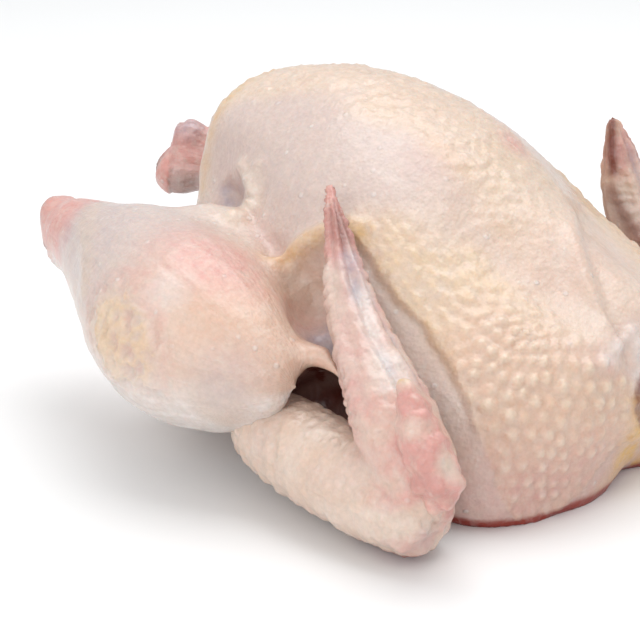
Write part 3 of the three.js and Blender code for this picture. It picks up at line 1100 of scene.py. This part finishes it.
# %% Paint soft patches
PATCHES = [
    (pink, (-20, -78, 69), 24, 0.55),
    (pink, (-6, -74, 64), 20, 0.4),
    # Painted light: peach that lifts the shaded recess of the flank.
    (pink, (6, -56, 60), 15, 0.28),
    (cream, (6, -56, 60), 15, 0.5),
    (cream, (4, -84, 54), 26, 0.4),
    (pink, (4, -84, 54), 26, 0.16),
    (pale, (52, -56, 32), 17, 0.4),
    (pink, (60, -10, 62), 20, 0.12),
    (pink, (20, -20, 88), 14, 0.16),
    (lilac, (7, -92, 40), 17, 0.35),
    # Painted shade and light in the flank's recess: lilac low down, peach above it.
    (lilac, (17, -60, 47), 13, 1.1),
    (cream, (4, -56, 54), 14, 0.4),
    (pink, (8, -60, 46), 16, 0.4),
    (cream, (-33, -98, 47), 15, 0.55),
    (cream, (-28, -101, 37), 10, 0.4),
    (pale, (-16, -92, 60), 10, 0.5),
    # Painted shade: pink and lilac in the pocket behind the web's cord.
    (pink, (-48, -33, 74), 16, 0.22),
    (lilac, (-44, -35, 68), 8, 0.6),
]
for mask, centre, radius, strength in PATCHES:
    mask += strength * both_sides(skin, centre, radius)
pink += 0.7 * spot(skin, (28, 11, 88.5), 9)
print("body patches", len(PATCHES))

# %% [markdown]
# ## Cords, edges of fat and pleats
#
# Stretched cords and the ragged lip of the neck look cream to white, because the skin is
# thick there. Fat is yellow, and shows along the free edge on the flank, below the neck
# and round the vent. A thin orange line on the tract's step is partly fat and partly
# painted shade in its groove, and the web's pocket is painted lilac as painted shade.

# %% Paint the lines
def near_fold(name):
    """The distance of each point of the skin to a fold's own line."""
    return near_line(skin, [row[:3] for row in FOLDS[name][0]])


cord = np.minimum(near_either(WEB_CORD), near_either(WEB_FORK) + 1.4)
cream += 0.8 * bell(cord, 2.6)
pale += 0.55 * bell(cord, 1.7)
pink += 0.35 * bell(near_either(WEB_CREASE), 3.0)
# Painted shade: lilac in the pocket behind the web's cord.
lilac += 0.7 * bell(near_either(WEB_POCKET), 2.6)
neck_lip = near_either(NECK_EDGE, 7)
pale += 0.7 * bell(neck_lip, 2.4)
pink += 0.25 * bell(neck_lip, 5)
for line, _, _ in HOCK_PLEATS:
    for own in left_and_right(line):
        cream += 0.6 * bell(near_line(skin, own), 2.2)
for name in ("left_flank_edge", "right_flank_edge"):
    fat += 0.55 * bell(near_fold(name), 3.4)
NECK_FAT = [
    (86, -8.3, 28),
    (86, -8.6, 19.6),
    (86, -10.5, 12.6),
    (86, -15.2, 5.9),
    (86, -24.3, 1.8),
]
fat += (1.0 + 0.7 * mottle) * bell(near_either(NECK_FAT, 14), 3.2)
for name in ("left_arch", "left_arch_lining", "right_arch"):
    cream += 0.5 * bell(near_fold(name), 5)
    pink += 0.25 * bell(near_fold(name), 5)
# Partly fat and partly painted shade: a thin orange line in the groove of the tract's step.
fat += 0.2 * bell(above_edge, 2.2) * step_zone
VENT_EDGE = [(-60, 0, 99), (-62, -16, 95), (-64, -24, 87), (-65, -26, 77), (-65, -27, 68)]
for own in left_and_right(VENT_EDGE):
    fat += 0.5 * bell(near_line(skin, own), 4.0) * (0.9 + 0.6 * mottle)
print("fat over", round(float((fat > 0.3).mean()) * 100, 1), "% of the skin")

# %% [markdown]
# ## Cut meat, painted shade and blood
#
# Inside the openings there is meat, so their walls are painted with it, and the depth of
# the gap between leg and wing is painted the same dark red as painted shade. A hollow's
# form has no end of its own in this measure, so the wall is kept to the hollow's own
# stretch of the body. A little blood has run down to the ground in front, and the trunk is
# painted pinker towards the ground as painted shade.

# %% Paint the hollows and the blood
for name, stations in {**OPENINGS, **GAPS}.items():
    wall = smoothstep(1.22, 1.04, locate(skin, stations, (3, 3))[2]) * (0.8 + 0.3 * mottle)
    reach_x = [row[0] for row in stations]
    wall *= smoothstep(min(reach_x) - 8, min(reach_x) - 3, skin[:, 0])
    wall *= smoothstep(max(reach_x) + 8, max(reach_x) + 3, skin[:, 0])
    if name == "vent":
        wall *= smoothstep(-86, -82, skin[:, 0]) * on_trunk
        for drumstick in ("left_drumstick", "right_drumstick"):
            wall *= smoothstep(1.2, 1.5, where[drumstick][2])
    # The gap's walls get the dark red too: painted shade in the depth of the gap.
    if "gap" in name:
        wall *= smoothstep(78, 67, np.abs(skin[:, 1])) * smoothstep(41, 36, skin[:, 2])
    if "flank" not in name:
        meat += wall
lowest = skin[:, 2] + 0.9 * mottle
blood = smoothstep(3.4, 1.6, lowest) * smoothstep(36, 48, skin[:, 0])
for drumstick in ("left_drumstick", "right_drumstick"):
    blood *= 1 - on_limb[drumstick]
# Painted shade: the trunk's skin is painted pinker towards the ground, and a little more lilac for the
# bluish band low on the breast.
pink += 0.42 * smoothstep(38, 6, skin[:, 2]) * on_trunk
lilac += 0.12 * smoothstep(30, 6, skin[:, 2]) * on_trunk
print("meat over", round(float((meat > 0.3).mean()) * 100, 1), "% of the skin")

# %% [markdown]
# ## Keeping the masks
#
# The masks are stored with the mesh. So are the places along and across the pull of the
# skin: round the trunk and down each leg. The material stretches its finest streaks by
# them.

# %% Store the body's masks and its flow
LEG_LENGTH = 130
LEG_RADIUS = 26
store(
    skin_mesh,
    cream=cream + 0.08 * drift,
    pink=pink + 0.05 * drift,
    lilac=lilac,
    pale=pale,
    meat=meat,
    fat=fat,
    blood=blood,
    smooth=np.clip(bare + 0.8 * (1 - on_trunk), 0, 1),
)
along, across = trunk_arc.copy(), trunk_x.copy()
for name in body_limbs:
    t, angle, _ = where[name]
    near = on_limb[name] > 0.5
    along[near] = t[near] * LEG_LENGTH
    across[near] = angle[near] * LEG_RADIUS
store_flow(skin_mesh, along, across)
print("body painted")

# %% [markdown]
# ## The colours of the wings
#
# The forearm is cream and pale. The hand is pinker, with a red graze near its tip, a blue
# vein in its groove and pale skin over the tendon, and the thumb and the wrist are pink.
# The right hand shows its inner side, with dark red grooves where the quills were. It
# faces away from the lights, so it is painted less pink and creamier as painted light.

# %% Paint the wings
RED_GRAZE = [(12, -52.7, 79.5), (15.7, -55.1, 76.2), (18, -56.5, 74)]
BLUE_VEIN = [(23, -60, 70), (27, -62.3, 66.5), (31, -65, 62.5)]
PALE_TENDON = [(32, -65, 62), (41.7, -72, 54), (50, -77, 45)]
UPPER_GROOVE = [(27.5, 66, 87), (30, 63, 78), (31, 63, 70)]
LOWER_GROOVE = [(31, 62.5, 64), (37, 63, 55), (42, 65, 47)]


def seen_line(points, line):
    """The distance to a line of the hand as it is seen from the left front."""
    return near_line(points, line, FROM_LEFT_FRONT, 6)


for side, mesh in wing_meshes.items():
    wing = points_of(mesh)
    place = wing_places[side]
    t, angle, _ = place["bones"]["hand"]
    ft, fangle, _ = place["bones"]["forearm"]
    hand = place["hand"]
    mottle = cloud(wing, 8, 33)
    broad = cloud(wing, 16, 34)
    uneven = smoothstep(-0.5, 0.4, cloud(wing, 11, 35))
    outer = -1 if side == "left" else 1
    tip, low, wrist_end = (
        np.array(LIMBS[f"{side}_{bone}"][0][row][:3], float)
        for bone, row in (("hand", 3), ("hand", 2), ("forearm", 2))
    )
    bruise = tip * 0.6 + low * 0.4 + [2, 2 * outer, 0]
    knob = wrist_end + [6, 6 * outer, -7]
    _, thumb_middle, thumb_tip = (row[:3] for row in LIMBS[f"{side}_thumb"][0])
    mid = smoothstep(0.3, 0.45, t) * smoothstep(0.98, 0.85, t) * hand
    pink = 0.12 + hand * (0.32 + 0.4 * mottle)
    pink += 0.75 * place["wrist"] * smoothstep(-0.2, 0.5, mottle)
    pink += 0.35 * spot(wing, tip, 24) + 0.8 * spot(wing, bruise, 14)
    pink += place["thumb"] * (0.35 + 0.7 * mottle) + 0.3 * spot(wing, thumb_middle, 18)
    meat = 0.2 * spot(wing, bruise, 10) + 0.16 * place["thumb"] * smoothstep(0.0, 0.6, mottle)
    lilac = 0.75 * mid * place["valley"] * uneven + 0.1 * mid + 1.0 * spot(wing, knob, 12)
    pale = 0.55 * mid * place["tendon"] * uneven + 0.3 * (1 - hand) * smoothstep(0.0, 0.6, broad)
    cream = (1 - hand) * (0.3 + 0.3 * broad) + hand * (0.25 + 0.3 * broad)
    fat = 0.8 * spot(wing, thumb_tip, 3.6)
    if side == "left":
        graze = seen_line(wing, RED_GRAZE)
        meat += 0.42 * bell(graze, 3.0)
        pink += 1.0 * bell(graze, 4.0)
        lilac *= 1 - bell(graze, 4.5)
        lilac += 1.0 * bell(seen_line(wing, BLUE_VEIN), 2.6) * (0.5 + 0.5 * uneven)
        pale += 0.7 * bell(seen_line(wing, PALE_TENDON), 2.6)
    else:
        # Painted light: the right wing lies in shade, so it is painted less pink and creamier.
        pink *= 0.6
        meat += 0.9 * bell(seen_line(wing, UPPER_GROOVE), 1.7)
        meat += 0.6 * bell(seen_line(wing, LOWER_GROOVE), 2.2)
        cream += 0.5 * hand
        pale += 0.5 * spot(wing, (35, 62, 57), 14)
    blood = smoothstep(4.2, 2.2, wing[:, 2] + 0.8 * mottle) * smoothstep(-10, 8, wing[:, 0])
    store(mesh, cream=cream, pink=pink, lilac=lilac, pale=pale, meat=meat, fat=fat, blood=blood)
    store(mesh, smooth=0.5 * np.ones(len(wing)))
    store_flow(
        mesh,
        np.where(hand > 0.5, t * 90, fangle * 13),
        np.where(hand > 0.5, angle * 9, ft * 75),
    )
print("wings painted")

# %% [markdown]
# ## The skin material
#
# Skin glows because light enters it and comes out redder a few millimetres away, so the
# shader uses subsurface scattering. The masks choose the colour, and a thin wet coat gives
# the small sharp lights. Bumps too small for the mesh come from noise and cells. First
# comes a helper, because every node and link would otherwise take several lines.

# %% A short way to wire nodes
class Wires:
    """A material whose nodes are added and joined in one line each."""

    def __init__(self, name):
        self.material = bpy.data.materials.new(name)
        self.material.use_nodes = True
        self.tree = self.material.node_tree
        self.shader = self.tree.nodes["Principled BSDF"]
        self.place = self.add("ShaderNodeTexCoord").outputs["Object"]

    def add(self, kind, **settings):
        node = self.tree.nodes.new(kind)
        for key, value in settings.items():
            setattr(node, key, value)
        return node

    def join(self, output, socket):
        self.tree.links.new(output, socket)

    def mapped(self, sizes, vector=None):
        mapping = self.add("ShaderNodeMapping")
        mapping.inputs["Scale"].default_value = [1 / s for s in sizes]
        self.join(vector or self.place, mapping.inputs["Vector"])
        return mapping.outputs["Vector"]

    def noise(self, sizes, detail=3.0, rough=0.5, vector=None):
        node = self.add("ShaderNodeTexNoise")
        node.inputs["Scale"].default_value = 1.0
        node.inputs["Detail"].default_value = detail
        node.inputs["Roughness"].default_value = rough
        self.join(self.mapped(sizes, vector), node.inputs["Vector"])
        return node.outputs["Fac"]

    def cells(self, size, jitter=1.0):
        node = self.add("ShaderNodeTexVoronoi")
        node.inputs["Scale"].default_value = 1.0
        node.inputs["Randomness"].default_value = jitter
        self.join(self.mapped([size] * 3), node.inputs["Vector"])
        return node.outputs["Distance"]

    def spread(self, value, low, high, new_low=0.0, new_high=1.0):
        node = self.add("ShaderNodeMapRange")
        node.clamp = True
        keys = ("From Min", "From Max", "To Min", "To Max")
        for key, number in zip(keys, (low, high, new_low, new_high)):
            node.inputs[key].default_value = number
        self.join(value, node.inputs["Value"])
        return node.outputs["Result"]

    def math(self, operation, a, b):
        node = self.add("ShaderNodeMath", operation=operation)
        for socket, value in zip(node.inputs, (a, b)):
            if isinstance(value, (int, float)):
                socket.default_value = value
            else:
                self.join(value, socket)
        return node.outputs["Value"]

    def mask(self, name):
        return self.add("ShaderNodeAttribute", attribute_name=name).outputs["Fac"]

    def flow(self):
        return self.add("ShaderNodeAttribute", attribute_name="flow").outputs["Vector"]

    def blend(self, factor, a, b, kind="MIX"):
        node = self.add("ShaderNodeMix", data_type="RGBA", blend_type=kind)
        node.clamp_factor = True
        for key, value in ((0, factor), (6, a), (7, b)):
            if isinstance(value, (int, float)):
                node.inputs[key].default_value = value
            elif isinstance(value, tuple):
                node.inputs[key].default_value = (*value, 1.0)
            else:
                self.join(value, node.inputs[key])
        return node.outputs[2]

    def bump(self, height, distance, strength=1.0, after=None):
        node = self.add("ShaderNodeBump")
        node.inputs["Distance"].default_value = distance
        node.inputs["Strength"].default_value = strength
        self.join(height, node.inputs["Height"])
        if after is not None:
            self.join(after, node.inputs["Normal"])
        return node.outputs["Normal"]


print("nodes are added with Wires")

# %% [markdown]
# ## Colours and finish of the skin
#
# Each mask has its own colour, laid over the last in a fixed order, with the dark red of
# meat and painted shade, and then blood, on top. A noise of a few millimetres breaks the
# softer masks up. Pale dots are added where the skin is smooth, and faint pale streaks run
# along its pull. Under the colour, four bumps are stacked, from soft lumps down to a grain
# of about a millimetre.

# %% The skin's colours and finish
SKIN_TONES = dict(
    base=(0.600, 0.470, 0.400),
    broad=(0.640, 0.520, 0.450),
    pale=(0.690, 0.620, 0.585),
    cream=(0.660, 0.500, 0.340),
    pink=(0.600, 0.300, 0.260),
    lilac=(0.400, 0.330, 0.360),
    fat=(0.660, 0.400, 0.130),
    meat=(0.160, 0.026, 0.014),
    blood=(0.260, 0.020, 0.008),
)
MASK_ORDER = ("cream", "pink", "lilac", "pale", "fat", "meat", "blood")
SKIN_FINISH = {
    "Subsurface Weight": 0.3,
    "Subsurface Radius": (1.0, 0.45, 0.3),
    "Subsurface Scale": 2.2 * MM,
    "Coat Weight": 0.35,
    "Coat Roughness": 0.14,
}


def skin_material(name, tones):
    w = Wires(name)
    broad = w.spread(w.noise([26 * MM] * 3, 4, 0.55), 0.36, 0.66)
    colour = w.blend(broad, tones["base"], tones["broad"])
    breakup = w.spread(w.noise([3.4 * MM] * 3, 4, 0.62), 0.3, 0.7, 0.55, 1.35)
    for mask in MASK_ORDER:
        factor = w.mask(mask)
        if mask not in ("meat", "blood"):
            factor = w.math("MULTIPLY", factor, breakup)
        colour = w.blend(factor, colour, tones[mask])
    smooth = w.mask("smooth")
    dots = w.spread(w.cells(6.2 * MM), 0.16, 0.07)
    on_smooth = w.math("MULTIPLY", dots, smooth)
    colour = w.blend(w.math("MULTIPLY", on_smooth, 0.55), colour, tones["pale"])
    streaks = w.noise([12, 2.1, 8], 2, 0.5, w.flow())
    streaked = w.math("MULTIPLY", w.spread(streaks, 0.55, 0.72), 0.14)
    colour = w.blend(streaked, colour, tones["pale"])
    shade = w.spread(w.noise([1.5 * MM] * 3, 3, 0.6), 0.3, 0.75, 0.92, 1.05)
    w.join(w.blend(1.0, colour, shade, "MULTIPLY"), w.shader.inputs["Base Color"])
    w.join(w.spread(w.noise([6 * MM] * 3, 3, 0.5), 0.3, 0.7, 0.34, 0.5), w.shader.inputs["Roughness"])
    soft = w.bump(w.noise([2.6 * MM] * 3, 3, 0.6), 0.9 * MM, 0.3)
    pulled = w.bump(streaks, 0.9 * MM, 0.28, after=soft)
    dotted = w.bump(on_smooth, 0.3 * MM, 0.8, after=pulled)
    fine = w.bump(w.cells(1.2 * MM), 0.22 * MM, 0.6, after=dotted)
    w.join(fine, w.shader.inputs["Normal"])
    for socket, value in SKIN_FINISH.items():
        w.shader.inputs[socket].default_value = value
    return w.material


skin_finish = skin_material("raw_skin", SKIN_TONES)
print("the skin material has", len(skin_finish.node_tree.nodes), "nodes")

# %% [markdown]
# ## Finishing a piece
#
# A finished mesh is shaded smooth, moved from the midline frame into the row frame, and
# scaled from millimetres to metres in its own points, so its object stays at the origin.

# %% Turn the meshes into pieces
def finish(name, mesh, material):
    points = points_of(mesh)
    set_points(mesh, (points + MIDLINE) * MM)
    for polygon in mesh.polygons:
        polygon.use_smooth = True
    mesh.materials.clear()
    mesh.materials.append(material)
    obj = linked(name, mesh)
    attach(obj, "root")
    return obj


skin_piece = finish("skin", skin_mesh, skin_finish)
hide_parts("chicken")
for side, mesh in wing_meshes.items():
    finish(f"{side}_wing", mesh, skin_finish)

# %% [markdown]
# ## Ground and light
#
# The photo is a bright studio shot: a white floor that fades into white, one broad soft
# light from above and a wide weaker one low in front, and pale walls that fill the
# shadows. Standard colour, without a film look, keeps the white floor white.

# %% Floor, room and lights
FLOOR_GREY = 0.84
FLOOR_ROUGHNESS = 0.5
ROOM_COLOUR = (0.975, 0.99, 1.0, 1)
ROOM_STRENGTH = 0.64
EXPOSURE = 0.36
MIDDLE = (0, 0, 0.03)


def make_floor():
    bm = bmesh.new()
    bmesh.ops.create_grid(bm, x_segments=1, y_segments=1, size=4.0)
    mesh = bpy.data.meshes.new("floor")
    bm.to_mesh(mesh)
    bm.free()
    w = Wires("white_floor")
    w.shader.inputs["Base Color"].default_value = (FLOOR_GREY, FLOOR_GREY, FLOOR_GREY, 1)
    w.shader.inputs["Roughness"].default_value = FLOOR_ROUGHNESS
    mesh.materials.append(w.material)
    floor = linked("floor", mesh)


make_floor()
world = bpy.data.worlds.new("white_room")
world.use_nodes = True
background = world.node_tree.nodes["Background"]
background.inputs["Color"].default_value = ROOM_COLOUR
background.inputs["Strength"].default_value = ROOM_STRENGTH
bpy.context.scene.world = world


def softbox(name, place, size, power):
    """A wide lamp that shines at the middle of the bird."""
    light = bpy.data.lights.new(name, "AREA")
    light.shape = "RECTANGLE"
    light.size, light.size_y = size
    light.energy = power
    lamp = bpy.data.objects.new(name, light)
    lamp.location = place
    aim = Vector(MIDDLE) - Vector(place)
    lamp.rotation_mode = "QUATERNION"
    lamp.rotation_quaternion = aim.to_track_quat("-Z", "Y")
    bpy.context.scene.collection.objects.link(lamp)


softbox("overhead", (-0.05, 0.2, 1.05), (1.0, 0.8), 5.4)
softbox("front", (0.3, -1.15, 0.5), (1.4, 0.9), 5.0)
bpy.context.scene.view_settings.view_transform = "Standard"
bpy.context.scene.view_settings.look = "None"
bpy.context.scene.view_settings.exposure = EXPOSURE
print("lit by the room and two softboxes")

# %% [markdown]
# ## Camera
#
# The camera looks down at twenty degrees from the bird's left front, and turns with a
# quaternion straight from its line of sight. Its lens follows from how wide a view it
# takes in at the distance of the aim, which lies in the plane of the ground.

# %% Camera
AZIMUTH = math.radians(40)
ELEVATION = math.radians(20)
DISTANCE = 670.0
VIEW_WIDTH = 229.0
AIM = np.array([-75.299, 44.731, 0.0])
towards = np.array(
    [
        math.sin(AZIMUTH) * math.cos(ELEVATION),
        -math.cos(AZIMUTH) * math.cos(ELEVATION),
        math.sin(ELEVATION),
    ]
)
camera_data = bpy.data.cameras.new("camera")
camera_data.sensor_width = 36.0
camera_data.lens = 36.0 * DISTANCE / VIEW_WIDTH
camera_data.clip_start = 0.01
camera = bpy.data.objects.new("camera", camera_data)
camera.location = (AIM + MIDLINE + towards * DISTANCE) * MM
camera.rotation_mode = "QUATERNION"
camera.rotation_quaternion = (-Vector(towards)).to_track_quat("-Z", "Y")
bpy.context.scene.collection.objects.link(camera)
bpy.context.scene.camera = camera
print("lens", round(camera_data.lens, 1), "mm")
